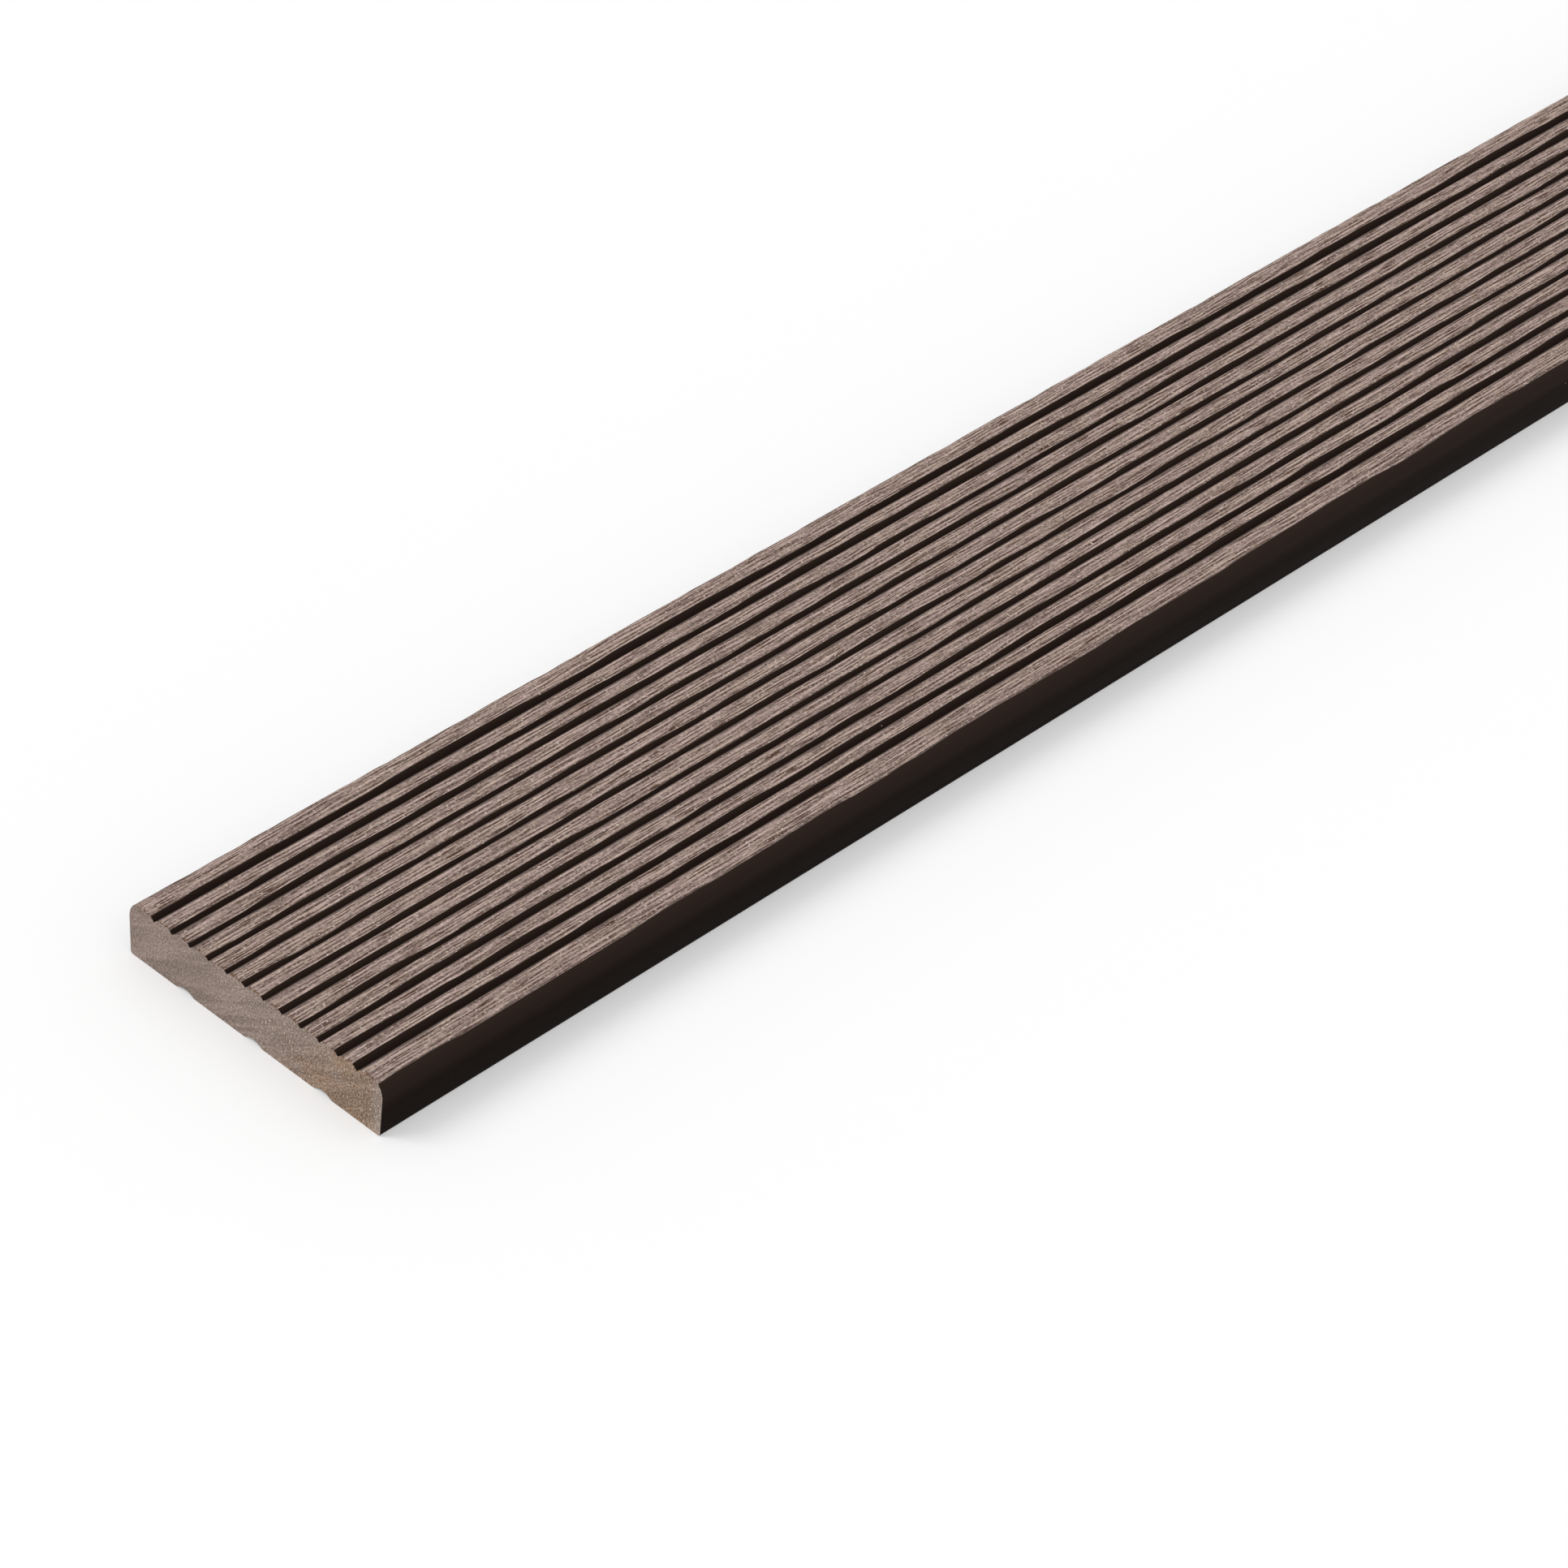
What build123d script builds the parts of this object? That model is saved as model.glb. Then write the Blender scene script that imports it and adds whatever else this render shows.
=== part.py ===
from build123d import *
import math
import os

# Composite cover strip: one length of solid wood-plastic extrusion, lying on its back.
# +X runs along the strip, +Y across it and +Z up through its thickness, in millimetres.
# The origin is the middle of the back face, at half the length.

# The strip as it is sold
length = 2000.0
width = 66.0
thickness = 12.0

# The extruded outline: drafted sides, full round shoulders, and stock on top for sanding
side_draft = 2.5
shoulder_radius = 4.6
sanding_allowance = 1.2
back_corner_radius = 0.5

# The ribs of the face are flat, with soft edges from which straight walls run down to narrow floors.
# Sanding takes a hair off the ribs. The floors lie on a shallow crown, so the outer valleys are the deepest.
rib_pitch = 4.8
rib_edge_radius = 1.2
rib_sanding = 0.01
valley_depth = 0.55
valley_wall_angle = 47.0
valley_crown_radius = 1050.0
valley_floor_radius = 0.1
edge_rib = 6.2

# The relief grooves of the back
relief_spacing = 18.0
relief_width = 4.6
relief_depth = 0.8
relief_lip_radius = 0.6
relief_edge_land = 12.0


def centre_lines(spacing, margin):
    """Places across the strip of as many lines as fit, evenly spaced about the middle."""
    count = int((width - 2 * margin) / spacing) + 1
    return [(index - (count - 1) / 2) * spacing for index in range(count)]


def extruded_outline():
    """The profile as it leaves the die, before sanding, ribs and reliefs."""
    draft = math.radians(side_draft)
    height = thickness + sanding_allowance
    # The sharp top corner stands out so far that the rounded side is just as wide as the strip.
    top_half = width / 2 + shoulder_radius * (1 / math.cos(draft) + math.tan(draft) - 1)
    back_half = top_half - height * math.tan(draft)
    corners = [(-back_half, 0), (back_half, 0), (top_half, height), (-top_half, height)]
    outline = make_face(Polyline(*corners, close=True))
    outline = fillet(outline.vertices().group_by(Axis.Y)[-1], shoulder_radius)
    return fillet(outline.vertices().group_by(Axis.Y)[0], back_corner_radius)


def sanded_off():
    """What sanding takes away above the finished face."""
    return Pos(0, thickness) * Rectangle(2 * width, 2 * thickness, align=(Align.CENTER, Align.MIN))


def valley(place):
    """The space between two ribs, deeper the further it lies from the middle."""
    wall = math.radians(valley_wall_angle)
    crown_drop = valley_crown_radius - math.sqrt(valley_crown_radius**2 - place**2)
    floor = thickness - valley_depth - crown_drop
    # The soft edges touch the crest before sanding, and end where the straight walls start.
    crest = thickness + rib_sanding
    centre = crest - rib_edge_radius
    crest_run = (math.cos(wall) * (centre - floor) + rib_edge_radius) / math.sin(wall)
    wall_run = crest_run - rib_edge_radius * math.sin(wall)
    wall_top = centre + rib_edge_radius * math.cos(wall)
    left_edge = RadiusArc((place - crest_run, crest), (place - wall_run, wall_top), rib_edge_radius)
    walls = Polyline((place - wall_run, wall_top), (place, floor), (place + wall_run, wall_top))
    right_edge = RadiusArc((place + wall_run, wall_top), (place + crest_run, crest), rib_edge_radius)
    top = Line((place + crest_run, crest), (place - crest_run, crest))
    cutter = make_face(left_edge + walls + right_edge + top)
    return fillet(cutter.vertices().sort_by(Axis.Y)[0], valley_floor_radius)


def relief(place):
    """One shallow round groove in the back, which leaves flat lands to bear on the wall."""
    radius = (relief_width**2 / 4 + relief_depth**2) / (2 * relief_depth)
    return Pos(place, relief_depth - radius) * Circle(radius)


def soften_relief_lips(section):
    """Rounds the two lips of each relief, where the die leaves no sharp edge."""
    lips = []
    for place in centre_lines(relief_spacing, relief_edge_land):
        for side in (-1, 1):
            lip = Vector(place + side * relief_width / 2, 0)
            lips.append(section.vertices().sort_by_distance(lip)[0])
    return fillet(lips, relief_lip_radius)


def cover_strip():
    """The whole strip: the finished section, drawn along the length."""
    section = extruded_outline() - sanded_off()
    for place in centre_lines(rib_pitch, edge_rib):
        section -= valley(place)
    for place in centre_lines(relief_spacing, relief_edge_land):
        section -= relief(place)
    section = soften_relief_lips(section)
    return extrude(Plane.YZ * section, amount=length / 2, both=True)


os.makedirs("parts", exist_ok=True)
strip = cover_strip()
strip.label = "cover_strip"
export_step(strip, "parts/cover_strip.step")
print("cover_strip", strip.bounding_box().size, "volume", round(strip.volume), "mm3")
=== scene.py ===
# %% [markdown]
# # A composite cover strip
# The strip is one length of wood-plastic composite: wood flour and plastic, pressed hot through a die.
# It leaves the die with a dark, smooth skin all round. A belt then sands the face, and a saw cuts the ends.
# So one piece of stock shows three finishes, and this lesson makes one mesh that carries them.
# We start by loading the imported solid. It gives the size and the place, and nothing here changes them.

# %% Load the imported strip
import math
from collections import namedtuple

import bmesh
import bpy
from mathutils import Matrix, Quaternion, Vector, noise


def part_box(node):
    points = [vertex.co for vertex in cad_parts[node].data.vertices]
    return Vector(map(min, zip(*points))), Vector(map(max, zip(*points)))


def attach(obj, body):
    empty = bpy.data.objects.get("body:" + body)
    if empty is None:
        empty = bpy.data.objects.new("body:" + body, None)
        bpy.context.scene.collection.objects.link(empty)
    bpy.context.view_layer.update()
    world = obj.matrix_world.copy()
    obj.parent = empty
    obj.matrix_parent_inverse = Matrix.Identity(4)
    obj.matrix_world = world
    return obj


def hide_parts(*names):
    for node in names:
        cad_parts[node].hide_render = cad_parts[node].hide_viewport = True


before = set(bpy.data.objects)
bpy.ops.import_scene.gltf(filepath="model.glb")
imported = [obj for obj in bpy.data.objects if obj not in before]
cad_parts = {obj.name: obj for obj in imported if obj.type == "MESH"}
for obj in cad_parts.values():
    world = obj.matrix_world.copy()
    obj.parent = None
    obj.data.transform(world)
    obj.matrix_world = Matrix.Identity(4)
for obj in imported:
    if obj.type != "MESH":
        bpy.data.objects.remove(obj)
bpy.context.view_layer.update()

MM = 0.001
strip_low, strip_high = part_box("cover_strip")
print("packed strip, in mm:", [round(side / MM, 2) for side in strip_high - strip_low])

# %% [markdown]
# ## The camera
# The photograph looks down on one sawn end, along the strip. A camera could be set by eye, but long straight
# edges show every error. So the lens and the angles were fitted to the groove lines and to the end face, and
# the camera stands where the foot of the near end falls on the right pixel.

# %% Camera
photo_side = 1932
focal_length_px = 7016.4
end_foot_px = (312.1, 1285.2)
end_foot_depth = 1003.2 * MM
azimuth, elevation, roll = (math.radians(angle) for angle in (40.79, 38.84, 4.97))

forward = Vector((
    math.cos(elevation) * math.cos(azimuth),
    math.cos(elevation) * math.sin(azimuth),
    -math.sin(elevation),
))
turn = forward.to_track_quat("-Z", "Y") @ Quaternion((0, 0, 1), roll)
right, up = turn @ Vector((1, 0, 0)), turn @ Vector((0, 1, 0))
across = (end_foot_px[0] - photo_side / 2) / focal_length_px
down = (end_foot_px[1] - photo_side / 2) / focal_length_px
end_foot = Vector((strip_low.x, 0, strip_low.z))

camera = bpy.data.objects.new("camera", bpy.data.cameras.new("camera"))
camera.data.sensor_width = 36.0
camera.data.lens = camera.data.sensor_width * focal_length_px / photo_side
camera.data.clip_start, camera.data.clip_end = 0.05, 200.0
camera.rotation_mode = "QUATERNION"
camera.rotation_quaternion = turn
camera.location = end_foot - end_foot_depth * (forward + right * across - up * down)
bpy.context.scene.collection.objects.link(camera)
bpy.context.scene.camera = camera
print("camera at", [round(x, 3) for x in camera.location], "lens", round(camera.data.lens, 1), "mm")

# %% [markdown]
# ## The section
# On the real strip the die makes flat ribs with soft edges, and straight walls run down from them to narrow
# valley floors. The belt takes a hair off the ribs, so the sanding stops a little way down each soft edge.
# Tiny changes in height make that stop line wander along the strip, and it is the wavy dark edge that the
# eye sees. We could paint the line on a plain extrusion, but then the edge would have no shape. Here two
# vertices of each edge move: one slides on the edge's circle, and one on the flat of the rib. First come the
# sizes, in the same frame as the solid.

# %% Sizes of the section
face = strip_high.z
half_width = strip_high.y

rib_pitch = 4.8 * MM
rib_edge_radius = 1.2 * MM
rib_sanding = 0.01 * MM
valley_count = 12
valley_depth = 0.62 * MM
valley_wall = 47.0
valley_crown_radius = 1050.0 * MM
floor_half_width = 0.05 * MM

shoulder_radius = 4.6 * MM
shoulder_sanding = 1.2 * MM
side_draft = 2.5
back_corner_radius = 0.5 * MM

relief_spacing = 18.0 * MM
relief_width = 4.6 * MM
relief_depth = 0.8 * MM
relief_lip_radius = 0.6 * MM
relief_count = 3

# Where the arcs of the ribs and shoulders start below the stop line, in degrees, and how many steps arcs have
rib_skin_angle, shoulder_skin_angle = 56.0, 32.0
rib_steps, shoulder_steps, corner_steps, lip_steps, relief_steps = 1, 4, 3, 2, 5


def centre_lines(count, spacing):
    """Places across the strip of evenly spaced lines about its middle."""
    return [(index - (count - 1) / 2) * spacing for index in range(count)]


print("valleys at", [round(place / MM, 1) for place in centre_lines(valley_count, rib_pitch)])

# %% [markdown]
# ## An edge that the sanding can slide on
# An edge knows the circle that it lies on and which way it falls. Where the sanding reaches further down, the
# stop line moves out on the circle, and the slightly rolled strip behind it gets wider. One rule places both
# vertices: a share of 0 is the stop line, and a share of 1 is where the flat of the rib starts. The belt
# leans a little to +Y, so it reaches further down that shoulder.

# %% Edges of the ribs and shoulders
Edge = namedtuple("Edge", "centre_y centre_z radius falls_to reach swing most_reach roll_slope")

# The mean reach of the sanding, how far it swings, and the most that it may be
rib_reaches = (0.13 * MM, 0.72 * MM, 0.46 * MM)
shoulder_reaches = {-1: (0.28 * MM, 0.60 * MM, 0.46 * MM), 1: (0.44 * MM, 0.80 * MM, 0.72 * MM)}
least_reach = -0.11 * MM
rib_roll_slope, shoulder_roll_slope = 0.16, 0.35
least_roll = 0.04 * MM


def valley_floor(place):
    """The height of a valley's floor. The floors lie on a shallow crown, so the outer ones are deepest."""
    return face - valley_depth - valley_crown_radius + math.sqrt(valley_crown_radius**2 - place**2)


def rib_edges(place):
    """The soft edges of the two ribs beside a valley: one falls to +Y, and the other to -Y."""
    wall = math.radians(valley_wall)
    centre_z = face + rib_sanding - rib_edge_radius
    run = (math.cos(wall) * (centre_z - valley_floor(place)) + rib_edge_radius) / math.sin(wall)
    finish = (*rib_reaches, rib_roll_slope)
    return [Edge(place - side * run, centre_z, rib_edge_radius, side, *finish) for side in (1, -1)]


def shoulder_edge(side):
    """The round shoulder on one long side, where the belt cuts a crisper edge."""
    centre_y = side * (half_width - shoulder_radius)
    centre_z = face + shoulder_sanding - shoulder_radius
    return Edge(centre_y, centre_z, shoulder_radius, side, *shoulder_reaches[side], shoulder_roll_slope)


def sanded_edge(edge, share, reach):
    """A vertex between the stop line and the flat: its place across the strip and its height."""
    run = math.sqrt(edge.radius**2 - (face - edge.centre_z) ** 2) + reach
    dip = max(face - edge.centre_z - math.sqrt(edge.radius**2 - run**2), 0)
    roll_width = max(dip / edge.roll_slope, least_roll)
    return edge.centre_y + edge.falls_to * (run - roll_width * share), face - dip * (1 - share)


first_edge = rib_edges(rib_pitch / 2)[0]
print("a stop line, in mm:", [round(x / MM, 3) for x in sanded_edge(first_edge, 0, first_edge.reach)])

# %% [markdown]
# ## Drawing the section
# The outline is a chain of arcs with straight runs between them. Blender's spin operator turns one vertex
# into an arc, so each arc needs only a centre, a radius and two angles. The chain runs over the face from -Y
# to +Y and comes back along the underside. Every vertex gets its number in the chain and its way round the
# section, which stay with it later on, when the chain is drawn out into the full length. We also note which
# vertices slide, which carry the painted sheen on the lips that fall to +Y, and which wear back on the
# shoulder at +Y.

# %% Draw the section
bm = bmesh.new()
chain_number = bm.verts.layers.float.new("chain_number")
way_round = bm.verts.layers.float.new("way_round")
chain = []
sliding = {}
worn = {}
sheen_lips = []
# How much of the wear each vertex takes, from the stop line down the shoulder
wear_shares = (1.0, 1.0, 0.6, 0.2)


def point(y, z):
    """One new vertex in the plane of the near end."""
    return bm.verts.new((strip_low.x, y, z))


def arc(centre_y, centre_z, radius, first, last, steps):
    """The vertices of an arc from the first angle to the last, in degrees from +Y towards +Z."""
    angle = math.radians(first)
    start = point(centre_y + radius * math.cos(angle), centre_z + radius * math.sin(angle))
    count = len(bm.verts)
    bmesh.ops.spin(
        bm, geom=[start], cent=(strip_low.x, centre_y, centre_z), axis=(1, 0, 0),
        angle=math.radians(last - first), steps=steps,
    )
    bm.verts.ensure_lookup_table()
    return [start, *bm.verts[count:]]


def sliding_pair(edge):
    """The two sliding vertices of an edge, in the order that the chain meets them."""
    pair = []
    for share in (1, 0) if edge.falls_to > 0 else (0, 1):
        vertex = point(*sanded_edge(edge, share, edge.reach))
        sliding[vertex] = (edge, share)
        pair.append(vertex)
    return pair


def valley(place):
    """One valley: down a soft edge and a wall, over the narrow floor, and up again."""
    falling, rising = rib_edges(place)
    floor_z = valley_floor(place) + floor_half_width * math.tan(math.radians(valley_wall))
    upper, lower = rib_skin_angle, 90 - valley_wall
    falling_skin = arc(falling.centre_y, falling.centre_z, falling.radius, upper, lower, rib_steps)
    # The first skin vertex of an edge that falls to +Y carries the painted sheen
    sheen_lips.append(falling_skin[0])
    return [
        *sliding_pair(falling),
        *falling_skin,
        point(place - floor_half_width, floor_z),
        point(place + floor_half_width, floor_z),
        *arc(rising.centre_y, rising.centre_z, rising.radius, 180 - lower, 180 - upper, rib_steps),
        *sliding_pair(rising),
    ]


def shoulder(side):
    """From the start of the flat, over the round shoulder, to the drafted side."""
    edge = shoulder_edge(side)
    upper, lower = shoulder_skin_angle, -side_draft
    angles = (upper, lower) if side > 0 else (180 - lower, 180 - upper)
    skin = arc(edge.centre_y, edge.centre_z, edge.radius, *angles, shoulder_steps)
    pair = sliding_pair(edge)
    if side < 0:
        return [*skin, *pair]
    for vertex, share in zip([pair[-1], *skin], wear_shares):
        worn[vertex] = (edge, share)
    return [*pair, *skin]


def back_corner(side):
    """The small round corner between the drafted side and the back."""
    top, draft, radius = shoulder_edge(1), math.radians(side_draft), back_corner_radius
    outward = math.cos(draft) * top.centre_y - math.sin(draft) * top.centre_z + top.radius
    centre_y = side * (outward - radius + math.sin(draft) * radius) / math.cos(draft)
    angles = (-side_draft, -90) if side > 0 else (270, 180 + side_draft)
    return arc(centre_y, strip_low.z + radius, radius, *angles, corner_steps)


def relief(place):
    """One shallow round groove of the back, with its two soft lips, from +Y to -Y."""
    radius = (relief_width**2 / 4 + relief_depth**2) / (2 * relief_depth)
    centre_z = strip_low.z + relief_depth - radius
    lip_z = strip_low.z + relief_lip_radius
    lip_run = math.sqrt((radius + relief_lip_radius) ** 2 - (lip_z - centre_z) ** 2)
    lean = math.degrees(math.atan2(lip_z - centre_z, lip_run))
    return [
        *arc(place + lip_run, lip_z, relief_lip_radius, -90, lean - 180, lip_steps)[:-1],
        *arc(place, centre_z, radius, lean, 180 - lean, relief_steps),
        *arc(place - lip_run, lip_z, relief_lip_radius, -lean, -90, lip_steps)[1:],
    ]


chain += shoulder(-1)
for place in centre_lines(valley_count, rib_pitch):
    chain += valley(place)
chain += shoulder(1)
chain += back_corner(1)
for place in reversed(centre_lines(relief_count, relief_spacing)):
    chain += relief(place)
chain += back_corner(-1)
# The chain starts inside a small corner of the back, where the seam of the unrolled strip is out of sight
chain = chain[-2:] + chain[:-2]

for spare in [vertex for vertex in bm.verts if vertex not in set(chain)]:
    bm.verts.remove(spare)
perimeter = 0.0
for number, vertex in enumerate(chain):
    vertex[chain_number] = number
    vertex[way_round] = perimeter
    after = chain[(number + 1) % len(chain)]
    perimeter += (after.co - vertex.co).length
    if bm.edges.get((vertex, after)) is None:
        bm.edges.new((vertex, after))
sliding = {number: sliding[vertex] for number, vertex in enumerate(chain) if vertex in sliding}
worn = {number: worn[vertex] for number, vertex in enumerate(chain) if vertex in worn}
sheen_lips = [chain.index(vertex) for vertex in sheen_lips]
print("the section has", len(chain), "vertices and is", round(perimeter / MM, 1), "mm round")

# %% [markdown]
# ## Drawing the strip out
# The section is now drawn out like the real extrusion. One extrude makes faces of the full length, and a
# subdivide cuts them into stations. The picture shows the near end from close by, so the stations are closer
# together there: the cuts are even at first, and one formula then shifts them towards that end. The extrude
# works in no fixed order, so a sort at the end makes every run give the same mesh.

# %% Extrude and cut into stations
station_count = 560
near_crowding = 0.65
length = strip_high.x - strip_low.x

drawn = bmesh.ops.extrude_edge_only(bm, edges=bm.edges[:])["geom"]
far_end = [element for element in drawn if isinstance(element, bmesh.types.BMVert)]
bmesh.ops.translate(bm, verts=far_end, vec=(length, 0, 0))
long_edges = [edge for edge in bm.edges if edge.calc_length() > length / 2]
bmesh.ops.subdivide_edges(bm, edges=long_edges, cuts=station_count - 1, use_grid_fill=True)

for vertex in bm.verts:
    station = round((vertex.co.x - strip_low.x) / length * station_count)
    share = station / station_count
    crowded = (1 - near_crowding) * share + near_crowding * share**2
    vertex.co.x = strip_low.x + length * crowded


def order(vertices):
    """A sorting key: where these vertices come round the section, and then how far along the strip."""
    numbers = [round(vertex[chain_number]) for vertex in vertices]
    wraps = max(numbers) - min(numbers) > 1
    along = sum(vertex.co.x - strip_low.x for vertex in vertices) / len(vertices)
    return (max(numbers) if wraps else min(numbers)) + along / (2 * length)


bm.verts.sort(key=lambda vertex: order([vertex]))
bm.edges.sort(key=lambda edge: order(edge.verts))
bm.faces.sort(key=lambda surface: order(surface.verts))
print("drawn out to", len(bm.faces), "faces")

# %% [markdown]
# ## The wandering stop line
# Sanding reaches further down an edge here than there. Smooth noise along the length gives that: a slow wave,
# a quicker ripple and small nicks. Each edge reads its own row of the noise, so no two edges match. The
# shoulder at +Y is also worn back unevenly, by a tenth of a millimetre, and that roughens the far edge of the
# picture. Which side of the stop line a vertex lies on is stored with it, because the finish needs it: the
# value is 0 on the line, rises over the roll to the flat, and is negative on the skin. The lips that fall to
# +Y lie in between, and there the finish paints a sheen: the light that these edges catch at a grazing angle.

# %% Let the stop lines wander
wave_length, wave_share, wave_layer = 17.0 * MM, 0.80, 0.5
ripple_length, ripple_share, ripple_layer = 7.0 * MM, 0.22, 9.5
nick_length, nick_share, nick_layer = 3.0 * MM, 0.08, 18.5
wear_length, wear_depth, wear_layer = 4.6 * MM, 0.17 * MM, 27.5
wear_offset = 0.15
first_row, row_step = 0.37, 2.71
# The middle value marks the lips that get the painted sheen
flat_value, sheen_lip_value, skin_value = 0.4, -0.5, -5.0

sanding = bm.verts.layers.float.new("sanding")
edges_in_order = dict.fromkeys(edge for edge, _ in sliding.values())
edge_rows = {edge: first_row + row_step * row for row, edge in enumerate(edges_in_order)}


def noise_along(edge, x, size, layer):
    """Smooth noise from -1 to 1 at x on an edge's own row, with features of this size."""
    return noise.noise(Vector((x / size, edge_rows[edge], layer)))


def reach_at(edge, x):
    """How far down an edge the sanding reaches at x."""
    swing = wave_share * noise_along(edge, x, wave_length, wave_layer)
    swing += ripple_share * noise_along(edge, x, ripple_length, ripple_layer)
    swing += nick_share * noise_along(edge, x, nick_length, nick_layer)
    return min(max(edge.reach + edge.swing * swing, least_reach), edge.most_reach)


def wear_back(vertex, edge, share):
    """Pushes a vertex of a shoulder towards the middle of its circle, here more and there less."""
    wear = noise_along(edge, vertex.co.x, wear_length, wear_layer) + wear_offset
    inward = Vector((0, edge.centre_y - vertex.co.y, edge.centre_z - vertex.co.z)).normalized()
    vertex.co += inward * wear_depth * share * max(wear, 0)


for vertex in bm.verts:
    number = round(vertex[chain_number])
    # Lips that fall to +Y get the value of the painted sheen
    vertex[sanding] = sheen_lip_value if number in sheen_lips else skin_value
    if number in sliding:
        edge, share = sliding[number]
        vertex.co.y, vertex.co.z = sanded_edge(edge, share, reach_at(edge, vertex.co.x))
        vertex[sanding] = flat_value * share
    if number in worn:
        wear_back(vertex, *worn[number])
print("stop lines on", len(edge_rows), "edges")

# %% [markdown]
# ## The sawn ends
# The saw leaves a flat face with a slightly broken edge. We cut the rim into short steps, fill each open end,
# inset the new face by a hair and push the rim back by small uneven amounts. That gives the edge a chipped
# look and a thin line of light. The tough skin of the valleys and sides holds, so only the crests and the
# lands of the back chip.

# %% Cap and chip the ends
rim_step = 0.4 * MM
chip_width = 0.05 * MM
chip_depth = 0.30 * MM
chip_size = 0.9 * MM
small_chip_size, small_chip_share = chip_size / 3, 0.4
chip_reach = 0.1 * MM
most_cuts = 20

open_edges = [edge for edge in bm.edges if edge.is_boundary]
for cuts in range(1, most_cuts):
    long_rim = [edge for edge in open_edges if round(edge.calc_length() / rim_step) == cuts + 1]
    if long_rim:
        bmesh.ops.subdivide_edges(bm, edges=long_rim, cuts=cuts)
open_edges = [edge for edge in bm.edges if edge.is_boundary]
caps = bmesh.ops.holes_fill(bm, edges=open_edges, sides=0)["faces"]
bmesh.ops.recalc_face_normals(bm, faces=bm.faces[:])
rims = {vertex for cap in caps for vertex in cap.verts}
ring = bmesh.ops.inset_region(
    bm, faces=caps, thickness=chip_width, use_even_offset=True, use_boundary=True,
)
sawn_faces = set(caps) | set(ring["faces"])
for vertex in rims:
    if min(face - vertex.co.z, vertex.co.z - strip_low.z) > chip_reach:
        continue
    inward = -math.copysign(1, vertex.co.x)
    chip = abs(noise.noise(vertex.co / chip_size))
    chip += small_chip_share * abs(noise.noise(vertex.co / small_chip_size))
    vertex.co.x += inward * chip_depth * chip
print("capped ends:", len(caps), "rim vertices:", len(rims))

# %% [markdown]
# ## A map for baking
# The nodes read the strip's own coordinates, so the render needs no UV map. A game engine does. Unrolled, the
# strip is a long ribbon, and a map that squeezes its length and keeps its width sharp suits a lengthwise
# grain. The two ends lie in a narrow column beside the ribbon.

# %% Unroll the strip
ribbon_share = 0.9
end_column = (0.91, 0.08)
end_rows = (0.01, 0.51)
end_row_height = 0.48

bake_map = bm.loops.layers.uv.new("OFBake")
for surface in bm.faces:
    shares = [loop.vert[way_round] / perimeter for loop in surface.loops]
    wraps = max(shares) - min(shares) > 0.5
    for loop, share in zip(surface.loops, shares):
        place = loop.vert.co
        if surface in sawn_faces:
            rise = (place.z - strip_low.z) / (face - strip_low.z)
            side = (place.y - strip_low.y) / (2 * half_width)
            row = end_rows[0] if place.x < 0 else end_rows[1]
            loop[bake_map].uv = (end_column[0] + end_column[1] * rise, row + end_row_height * side)
        else:
            along = (place.x - strip_low.x) / length
            loop[bake_map].uv = (ribbon_share * along, share + 1 if wraps and share < 0.5 else share)
print("unrolled", len(bm.faces), "faces")

# %% [markdown]
# ## The finished mesh
# The bmesh becomes one object at the origin. Smooth shading follows the round shoulders, and edges that turn
# sharply, such as the valley floors and the sawn rims, stay crisp.

# %% Make the strip's object
sharp_angle = math.radians(38)

for surface in bm.faces:
    surface.smooth = True
    surface.material_index = 1 if surface in sawn_faces else 0
bmesh.ops.triangulate(bm, faces=caps)
for spare in ("chain_number", "way_round"):
    bm.verts.layers.float.remove(bm.verts.layers.float[spare])
mesh = bpy.data.meshes.new("sanded_strip")
bm.to_mesh(mesh)
bm.free()
mesh.set_sharp_from_angle(angle=sharp_angle)
strip = bpy.data.objects.new("sanded_strip", mesh)
bpy.context.scene.collection.objects.link(strip)
mesh.calc_loop_triangles()
print("sanded_strip has", len(mesh.loop_triangles), "triangles")

# %% [markdown]
# ## Tools for the finishes
# Colours are written as sRGB hex values, as a colour picker shows them, and one function turns them to the
# linear values that the shader needs. Another adds a node with its settings and links. Patterns are sized in
# millimetres: a Mapping node divides the coordinates by the size of one feature. Two settings come up again
# and again, so they have names: a Map Range with soft ends, and a Mix of colours.

# %% Colour and node helpers
soft_ends = {"interpolation_type": "SMOOTHSTEP"}
of_colours = {"data_type": "RGBA"}


def linear(code):
    """The linear RGBA of an sRGB hex value such as #8B7B75."""
    channels = [int(code[start:start + 2], 16) / 255 for start in (1, 3, 5)]
    return (*[c / 12.92 if c <= 0.04045 else ((c + 0.055) / 1.055) ** 2.4 for c in channels], 1.0)


def add_node(tree, kind, inputs=None, **settings):
    """Adds one shader node. Its inputs take a number, a colour or another node's output."""
    made = tree.nodes.new("ShaderNode" + kind)
    for name, value in settings.items():
        setattr(made, name, value)
    for socket, value in (inputs or {}).items():
        if isinstance(value, bpy.types.NodeSocket):
            tree.links.new(value, made.inputs[socket])
        else:
            made.inputs[socket].default_value = value
    return made


def per_metre(*sizes_mm):
    """The Mapping scale at which a pattern's features have these sizes."""
    return [1000 / size for size in sizes_mm]


def new_material(name):
    """An empty node material and its tree."""
    material = bpy.data.materials.new(name)
    material.use_nodes = True
    material.node_tree.nodes.clear()
    return material, material.node_tree


print("a mid grey in linear values:", [round(c, 3) for c in linear("#808080")])
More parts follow.
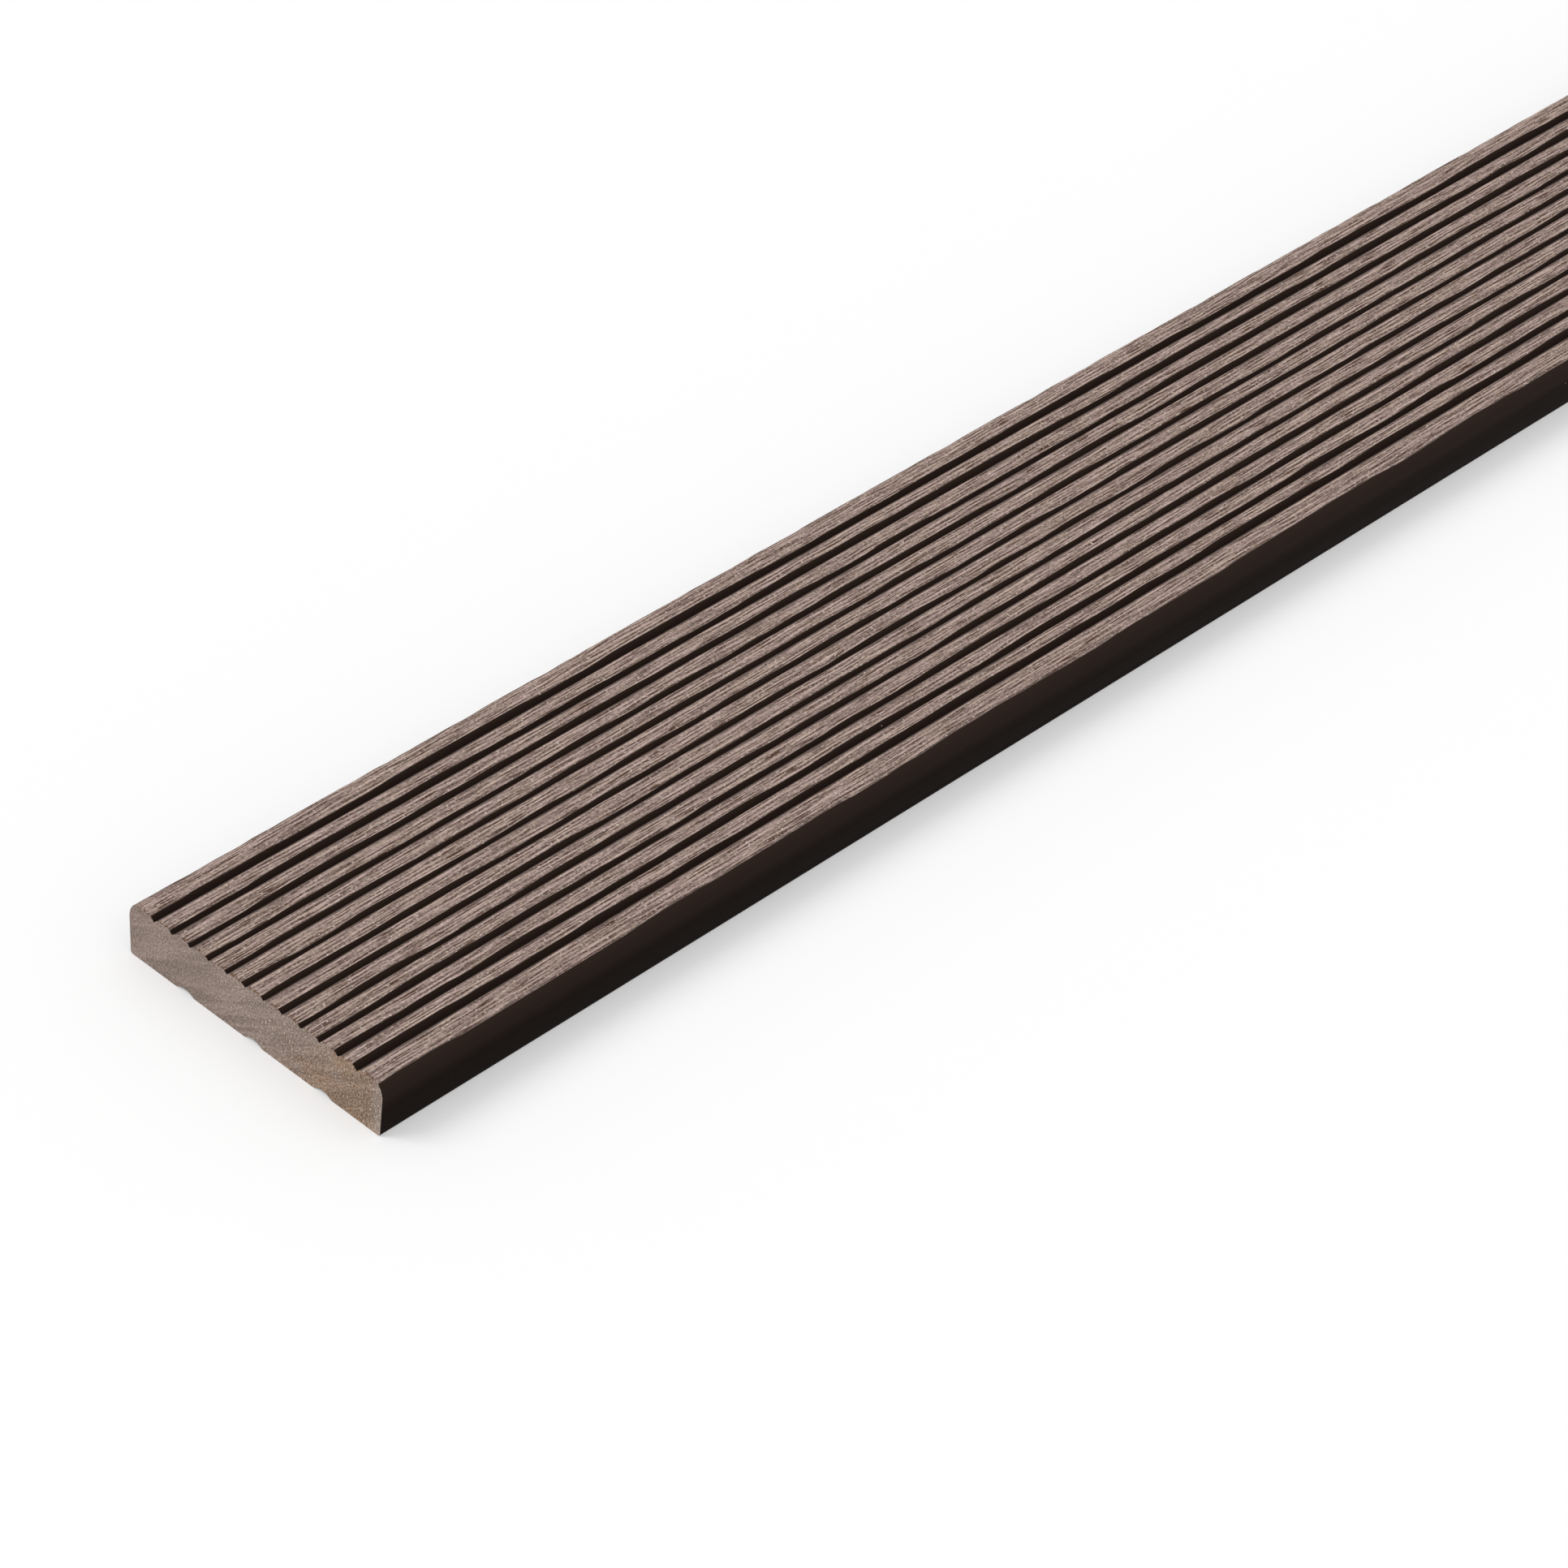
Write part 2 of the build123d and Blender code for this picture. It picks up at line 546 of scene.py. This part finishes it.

# %% [markdown]
# ## Sanded and skinned composite
# The die leaves a resin-rich skin, nearly black and satin. The belt opens it and shows wood flour in plastic:
# grey-brown and matt. Two materials would meet in a line as straight as a face edge. One material with a mask
# frays the line the way the belt does, so here the stored distance from the stop line, with a little noise,
# decides between sanded and skin. Just beyond the line, the lips of the valleys that fall to +Y get a painted
# sheen, a pale band that stands for the light that these edges catch at a grazing angle.

# %% Where the belt has been
composite, tree = new_material("sanded_and_skinned_composite")
coordinates = add_node(tree, "TexCoord").outputs["Object"]
place = add_node(tree, "SeparateXYZ", {0: coordinates}).outputs
stop_side = add_node(tree, "Attribute", attribute_name="sanding").outputs["Fac"]
fray_reach = 0.08


def streaks(length_mm, width_mm, detail=2.0, aside_mm=0.0):
    """Noise drawn out along the strip, with features of this length and width, moved aside if need be."""
    moved = add_node(tree, "Mapping", {
        "Vector": coordinates, "Scale": per_metre(length_mm, width_mm, width_mm),
        "Location": (0.0, aside_mm / width_mm, 0.0),
    })
    inputs = {"Vector": moved.outputs[0], "Scale": 1.0, "Detail": detail}
    return add_node(tree, "TexNoise", inputs).outputs[0]


# The line frays in short dashes along the strip
fray = add_node(tree, "MapRange", {
    0: streaks(2.5, 0.3), 1: 0.3, 2: 0.7, 3: -fray_reach, 4: fray_reach,
}, **soft_ends).outputs[0]
frayed = add_node(tree, "Math", {0: stop_side, 1: fray}, operation="ADD").outputs[0]
sanded = add_node(tree, "MapRange", {0: frayed, 1: -0.03, 2: 0.06}, **soft_ends).outputs[0]
# Painted sheen: a band just beyond the stop line, mostly on the lips that fall to +Y
painted_sheen = add_node(tree, "MapRange", {0: frayed, 1: -0.60, 2: -0.25}, **soft_ends).outputs[0]
print("the mask takes", len(tree.nodes), "nodes")

# %% [markdown]
# ## Scratches and grain
# Sanded flour shows as fibres a few millimetres long, drawn out by the die, with crumbs between them and the
# belt's scratches over both. Plain stretched noise would look blotchy from afar. So a fibre here is noise
# less its own copy, moved aside: each light fibre has a dark one beside it, and the mean stays even. The
# belt's scratches are a wave texture, which noise bends until its lines break and merge.

# %% Scratches and grain
fibre_length, fibre_width, fibre_detail, fibre_aside = 10.0, 0.30, 0.8, 0.45
scratch_share, crumb_share = 0.38, 0.28

# The wave repeats every 0.314 of a unit, so a unit of 2.9 mm gives a scratch every 0.9 mm
scratch_place = add_node(tree, "Mapping", {"Vector": coordinates, "Scale": per_metre(28.0, 2.9, 2.9)})
scratches = add_node(tree, "TexWave", {
    "Vector": scratch_place.outputs[0], "Scale": 1.0, "Distortion": 6.0, "Detail": 1.0, "Detail Scale": 2.4,
}, bands_direction="Y").outputs["Fac"]

# Real flour is finer than these crumbs, which are drawn as coarse as they need to be to show
beside = add_node(tree, "Math", {
    0: streaks(fibre_length, fibre_width, fibre_detail),
    1: streaks(fibre_length, fibre_width, fibre_detail, fibre_aside),
}, operation="SUBTRACT").outputs[0]
fibre = add_node(tree, "MapRange", {0: beside, 1: -0.33, 2: 0.33}, **soft_ends).outputs[0]
crumb = add_node(tree, "MapRange", {0: streaks(0.60, 0.34, 0.5), 1: 0.20, 2: 0.80}, **soft_ends).outputs[0]
scratched = add_node(tree, "Mix", {0: scratch_share, 2: fibre, 3: scratches}).outputs[0]
grain = add_node(tree, "Mix", {0: crumb_share, 2: scratched, 3: crumb}).outputs[0]

# The light grain varies a little between a rosy and a sandy grey
warmth = add_node(tree, "MapRange", {0: streaks(9.0, 1.4, 1.0), 1: 0.35, 2: 0.65}, **soft_ends).outputs[0]
light_grain = add_node(tree, "Mix", {
    0: warmth, 6: linear("#C2ABA3"), 7: linear("#C1AB9F"),
}, **of_colours).outputs[2]
lightness = add_node(tree, "MapRange", {0: grain, 1: 0.06, 2: 0.95}, **soft_ends).outputs[0]
grained = add_node(tree, "Mix", {0: lightness, 6: linear("#4F3F38"), 7: light_grain}, **of_colours).outputs[2]
print("with the grain there are", len(tree.nodes), "nodes")

# %% [markdown]
# ## Pores, flecks and tears
# The belt pulls some fibres out, which leaves dark hairlines, and cuts others through, which leaves pale
# flecks. The saw tears brown crumbs out of the rim, within a millimetre of each end. Each of them is a noise
# of its own, and only its peaks show, so they lie scattered and never cover the grain.

# %% Pores, flecks and tears
tears_start, tears_full = length / 2 - 0.9 * MM, length / 2 - 0.1 * MM

pores = add_node(tree, "MapRange", {0: streaks(8.0, 0.24, 0.0), 1: 0.62, 2: 0.74}, **soft_ends).outputs[0]
pored = add_node(tree, "Mix", {0: pores, 6: grained, 7: linear("#4F392D")}, **of_colours).outputs[2]
flecks = add_node(tree, "MapRange", {0: streaks(0.56, 0.36, 0.0), 1: 0.64, 2: 0.90}, **soft_ends).outputs[0]
flecked = add_node(tree, "Mix", {0: flecks, 6: pored, 7: linear("#D2C2B7")}, **of_colours).outputs[2]

from_middle = add_node(tree, "Math", {0: place["X"]}, operation="ABSOLUTE").outputs[0]
near_saw = add_node(tree, "MapRange", {0: from_middle, 1: tears_start, 2: tears_full}, **soft_ends).outputs[0]
holes = add_node(tree, "MapRange", {0: streaks(0.8, 0.7, 1.0), 1: 0.46, 2: 0.58}, **soft_ends).outputs[0]
tears = add_node(tree, "Math", {0: holes, 1: near_saw}, operation="MULTIPLY").outputs[0]
sanded_colour = add_node(tree, "Mix", {0: tears, 6: flecked, 7: linear("#6A4F3F")}, **of_colours).outputs[2]
print("with what is torn and cut there are", len(tree.nodes), "nodes")

# %% [markdown]
# ## Skin
# The die draws the skin smooth, with faint lines along the strip. The skin is painted lighter towards the
# top:
# on the long sides this is a painted sheen on the upper part over painted shade at the foot, and the valleys,
# which lie at the top, take the lighter tone too. Sanding dust leaves a few grains everywhere. The flat lands
# of the back slide over the saw table and over other strips, which rubs them dull in long marks. The height
# and the distance from the middle tell these places apart, so no more masks have to be stored.

# %% Skin
# Heights over which the skin is painted lighter towards the top
painted_light_foot, painted_light_top = 5.0 * MM, 12.0 * MM
valleys_end, sides_start = 29.0 * MM, 31.0 * MM
above_lands, on_lands = 0.20 * MM, 0.04 * MM
dust_spacing = 9.0

die_line = streaks(300.0, 0.8)
plain_skin = add_node(tree, "Mix", {
    0: die_line, 6: linear("#120A06"), 7: linear("#190F0A"),
}, **of_colours).outputs[2]
from_centre = add_node(tree, "Math", {0: place["Y"]}, operation="ABSOLUTE").outputs[0]
on_side = add_node(tree, "MapRange", {0: from_centre, 1: valleys_end, 2: sides_start}, **soft_ends).outputs[0]
# Painted light: the lighter skin of the upper sides (#332722) is a painted sheen, and the valleys take
# #271C17
painted_light_skin = add_node(tree, "Mix", {
    0: on_side, 6: linear("#271C17"), 7: linear("#332722"),
}, **of_colours).outputs[2]
# Painted light by height: the skin turns lighter from 5 mm up to the face, so the foot of the sides stays
# dark as painted shade
painted_light_by_height = add_node(tree, "MapRange", {0: place["Z"], 1: painted_light_foot, 2: painted_light_top}, **soft_ends).outputs[0]
skin_with_painted_light = add_node(tree, "Mix", {0: painted_light_by_height, 6: plain_skin, 7: painted_light_skin}, **of_colours).outputs[2]

dust_place = add_node(tree, "Mapping", {"Vector": coordinates, "Scale": per_metre(*[dust_spacing] * 3)})
dust_distance = add_node(tree, "TexVoronoi", {
    "Vector": dust_place.outputs[0], "Scale": 1.0,
}).outputs["Distance"]
dust = add_node(tree, "MapRange", {0: dust_distance, 1: 0.022, 2: 0.012}, **soft_ends).outputs[0]
dusty = add_node(tree, "Mix", {0: dust, 6: skin_with_painted_light, 7: linear("#8A7A70")}, **of_colours).outputs[2]

on_land = add_node(tree, "MapRange", {0: place["Z"], 1: above_lands, 2: on_lands}, **soft_ends).outputs[0]
rub_marks = add_node(tree, "MapRange", {0: streaks(70.0, 1.1, 3.0), 1: 0.42, 2: 0.68}, **soft_ends).outputs[0]
rubbed = add_node(tree, "Math", {0: on_land, 1: rub_marks}, operation="MULTIPLY").outputs[0]
worn_skin = add_node(tree, "Mix", {0: rubbed, 6: dusty, 7: linear("#352A25")}, **of_colours).outputs[2]
# 6E605B is the painted sheen on those lips, the light that they catch at a grazing angle
skin_colour = add_node(tree, "Mix", {0: painted_sheen, 6: worn_skin, 7: linear("#6E605B")}, **of_colours).outputs[2]
print("with the skin there are", len(tree.nodes), "nodes")

# %% [markdown]
# ## Sanded and skinned, together
# The mask now picks colour and roughness: matt where the belt has been, satin on the skin, and dull where the
# lands are rubbed. Grain and pores are cut in by a few hundredths of a millimetre, which is bump's work, and
# only where the belt has been.

# %% Put the composite together
sanded_roughness, rubbed_roughness = 0.85, 0.70
satin_low, satin_high = 0.36, 0.46
grain_depth = 0.03 * MM

colour = add_node(tree, "Mix", {0: sanded, 6: skin_colour, 7: sanded_colour}, **of_colours).outputs[2]
satin = add_node(tree, "MapRange", {
    0: die_line, 1: 0.3, 2: 0.7, 3: satin_low, 4: satin_high,
}, **soft_ends).outputs[0]
skin_roughness = add_node(tree, "Mix", {0: rubbed, 2: satin, 3: rubbed_roughness}).outputs[0]
roughness = add_node(tree, "Mix", {0: sanded, 2: skin_roughness, 3: sanded_roughness}).outputs[0]

cut = add_node(tree, "Math", {0: grain, 1: pores}, operation="SUBTRACT").outputs[0]
cut_in = add_node(tree, "Math", {0: cut, 1: sanded}, operation="MULTIPLY").outputs[0]
bump = add_node(tree, "Bump", {"Height": cut_in, "Distance": grain_depth, "Strength": 0.7})

composite_shader = add_node(tree, "BsdfPrincipled", {
    "Base Color": colour, "Roughness": roughness, "Normal": bump.outputs[0],
    "IOR": 1.45, "Specular IOR Level": 0.02,
})
add_node(tree, "OutputMaterial", {"Surface": composite_shader.outputs[0]})
mesh.materials.append(composite)
print("composite has", len(tree.nodes), "nodes")

# %% [markdown]
# ## Sawn composite
# A saw cuts across the flour and opens it as speckle: grains of wood in plastic. The grain has no direction
# here, so its features are as high as they are wide. Towards one lower corner the melt has a warmer tint,
# with a wandering border. Over the last millimetres at the -Y edge, the end turns a paler grey. A picture of
# a real end could be mapped on, but noise of the right size stays sharp close by.

# %% Body of the sawn ends
warm_start, warm_full = 2.0 * MM, -16.0 * MM
warm_drift, warm_slant = 16.0 * MM, 1.2
# Where the end turns a paler grey towards the -Y edge, and how far
pale_edge_start, pale_edge_full, pale_edge_share = -29.0 * MM, -32.6 * MM, 0.75

sawn, tree = new_material("sawn_composite")
coordinates = add_node(tree, "TexCoord").outputs["Object"]
place = add_node(tree, "SeparateXYZ", {0: coordinates}).outputs


def speckle(across_mm, high_mm, detail=2.0):
    """Noise on the end, with features of this width and height."""
    scaled = add_node(tree, "Mapping", {
        "Vector": coordinates, "Scale": per_metre(across_mm, across_mm, high_mm),
    })
    inputs = {"Vector": scaled.outputs[0], "Scale": 1.0, "Detail": detail}
    return add_node(tree, "TexNoise", inputs).outputs[0]


grains = add_node(tree, "MapRange", {0: speckle(0.42, 0.42), 1: 0.26, 2: 0.74}, **soft_ends).outputs[0]
grey = add_node(tree, "Mix", {
    0: grains, 6: linear("#7D6C64"), 7: linear("#A7968C"),
}, **of_colours).outputs[2]
brown = add_node(tree, "Mix", {
    0: grains, 6: linear("#745C4B"), 7: linear("#AB937F"),
}, **of_colours).outputs[2]
pale = add_node(tree, "Mix", {
    0: grains, 6: linear("#8F7F77"), 7: linear("#B8A99F"),
}, **of_colours).outputs[2]

drift = add_node(tree, "MapRange", {
    0: speckle(7.0, 5.0), 3: -warm_drift, 4: warm_drift,
}, **soft_ends).outputs[0]
slant = add_node(tree, "Math", {0: place["Z"], 1: warm_slant, 2: drift}, operation="MULTIPLY_ADD").outputs[0]
warm_place = add_node(tree, "Math", {0: place["Y"], 1: slant}, operation="ADD").outputs[0]
warm = add_node(tree, "MapRange", {0: warm_place, 1: warm_start, 2: warm_full}, **soft_ends).outputs[0]
tinted = add_node(tree, "Mix", {0: warm, 6: grey, 7: brown}, **of_colours).outputs[2]
# The end turns a paler grey over the last millimetres at the -Y edge
paler_edge = add_node(tree, "MapRange", {
    0: place["Y"], 1: pale_edge_start, 2: pale_edge_full, 4: pale_edge_share,
}, **soft_ends).outputs[0]
body = add_node(tree, "Mix", {0: paler_edge, 6: tinted, 7: pale}, **of_colours).outputs[2]
print("the body of the ends takes", len(tree.nodes), "nodes")

# %% [markdown]
# ## Flow bands and glints
# Where the melt folded in the die, faint bands run slanting across the end: noise on turned and stretched
# coordinates, which darkens and lightens the body by a tenth. Cut fibre ends glint as pale specks, and more
# of them lie towards -Y.

# %% Flow bands and glints
flow_slant = math.radians(-30)
flow_size = (14.0 * MM, 14.0 * MM, 1.5 * MM)
flow_dark, flow_light = 0.86, 1.10
few_glints, most_glints, least_share = 24.0 * MM, -8.0 * MM, 0.4
grain_height = 0.05 * MM

flow_place = add_node(tree, "Mapping", {
    "Vector": coordinates, "Rotation": (flow_slant, 0, 0), "Scale": flow_size,
}, vector_type="TEXTURE")
flow = add_node(tree, "TexNoise", {"Vector": flow_place.outputs[0], "Scale": 1.0, "Detail": 1.0}).outputs[0]
bands = add_node(tree, "MapRange", {
    0: flow, 1: 0.36, 2: 0.64, 3: flow_dark, 4: flow_light,
}, **soft_ends).outputs[0]
banded = add_node(tree, "Mix", {0: 1.0, 6: body, 7: bands}, **of_colours, blend_type="MULTIPLY").outputs[2]

fibre_ends = add_node(tree, "MapRange", {
    0: speckle(0.34, 0.34, 0.0), 1: 0.64, 2: 0.79,
}, **soft_ends).outputs[0]
glint_share = add_node(tree, "MapRange", {
    0: place["Y"], 1: few_glints, 2: most_glints, 3: least_share,
}, **soft_ends).outputs[0]
glints = add_node(tree, "Math", {0: fibre_ends, 1: glint_share}, operation="MULTIPLY").outputs[0]
sawn_colour = add_node(tree, "Mix", {0: glints, 6: banded, 7: linear("#D5C6B9")}, **of_colours).outputs[2]

sawn_bump = add_node(tree, "Bump", {"Height": grains, "Distance": grain_height, "Strength": 0.6})
sawn_shader = add_node(tree, "BsdfPrincipled", {
    "Base Color": sawn_colour, "Normal": sawn_bump.outputs[0],
    "Roughness": 0.85, "IOR": 1.45, "Specular IOR Level": 0.1,
})
add_node(tree, "OutputMaterial", {"Surface": sawn_shader.outputs[0]})
mesh.materials.append(sawn)
print("sawn composite has", len(tree.nodes), "nodes")

# %% [markdown]
# ## Floor
# The photograph has a white ground with a soft shadow. A floor lit until it clips would flood the strip with
# light. Instead the floor is a plain grey card that shows itself brighter to the camera and to reflections
# only, by just the share that it lacks to white, so the shadow stays and the strip gets no extra light.

# %% Floor
floor_half_side = 40.0
floor_gap = 0.05 * MM
card_grey = 0.70

bm = bmesh.new()
bmesh.ops.create_grid(bm, x_segments=1, y_segments=1, size=floor_half_side)
bmesh.ops.translate(bm, verts=bm.verts[:], vec=(0, 0, strip_low.z - floor_gap))
floor_mesh = bpy.data.meshes.new("floor")
bm.to_mesh(floor_mesh)
bm.free()
floor = bpy.data.objects.new("floor", floor_mesh)
bpy.context.scene.collection.objects.link(floor)


def seen_directly(tree):
    """1 for rays from the camera, reflections and glass, and 0 for the light that falls on the strip."""
    path = add_node(tree, "LightPath").outputs
    pair = add_node(tree, "Math", {0: path["Is Camera Ray"], 1: path["Is Glossy Ray"]}, operation="MAXIMUM")
    return add_node(
        tree, "Math", {0: pair.outputs[0], 1: path["Is Transmission Ray"]}, operation="MAXIMUM",
    ).outputs[0]


card, tree = new_material("white_card")
matt = add_node(tree, "BsdfDiffuse", {"Color": (card_grey, card_grey, card_grey, 1.0)})
lift = add_node(tree, "Math", {0: seen_directly(tree), 1: 1.0 - card_grey}, operation="MULTIPLY")
glow = add_node(tree, "Emission", {"Color": (1.0, 1.0, 1.0, 1.0), "Strength": lift.outputs[0]})
both = add_node(tree, "AddShader", {0: matt.outputs[0], 1: glow.outputs[0]})
add_node(tree, "OutputMaterial", {"Surface": both.outputs[0]})
floor_mesh.materials.append(card)
print("floor at", round(strip_low.z - floor_gap, 5), "m")

# %% [markdown]
# ## Studio light
# Soft light from all round fills three quarters, and one broad lamp from the upper left gives the rest. A
# lamp close by would fade along two metres of strip, so the lamp is a sun with a wide disc, which lights the
# whole length alike. Together they light a level face by just 1, so a colour renders about as it is written.

# %% Light
fill_share = 0.75
lamp_from = Vector((-0.70, 0.68, 1.0)).normalized()
lamp_disc = math.radians(28)

world = bpy.data.worlds.new("studio")
world.use_nodes = True
tree = world.node_tree
tree.nodes.clear()
brightness = add_node(tree, "MapRange", {"Value": seen_directly(tree), 3: fill_share, 4: 1.0})
sky = add_node(tree, "Background", {"Color": (1.0, 1.0, 1.0, 1.0), "Strength": brightness.outputs[0]})
add_node(tree, "OutputWorld", {"Surface": sky.outputs[0]})
bpy.context.scene.world = world

lamp = bpy.data.objects.new("lamp", bpy.data.lights.new("lamp", "SUN"))
lamp.data.energy = math.pi * (1.0 - fill_share) / lamp_from.z
lamp.data.angle = lamp_disc
lamp.rotation_mode = "QUATERNION"
lamp.rotation_quaternion = lamp_from.to_track_quat("Z", "Y")
lamp.location = lamp_from * 3.0
bpy.context.scene.collection.objects.link(lamp)
bpy.context.scene.view_settings.view_transform = "Standard"
print("lamp strength", round(lamp.data.energy, 2))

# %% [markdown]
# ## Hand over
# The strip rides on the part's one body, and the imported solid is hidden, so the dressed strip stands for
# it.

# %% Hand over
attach(strip, "root")
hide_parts("cover_strip")
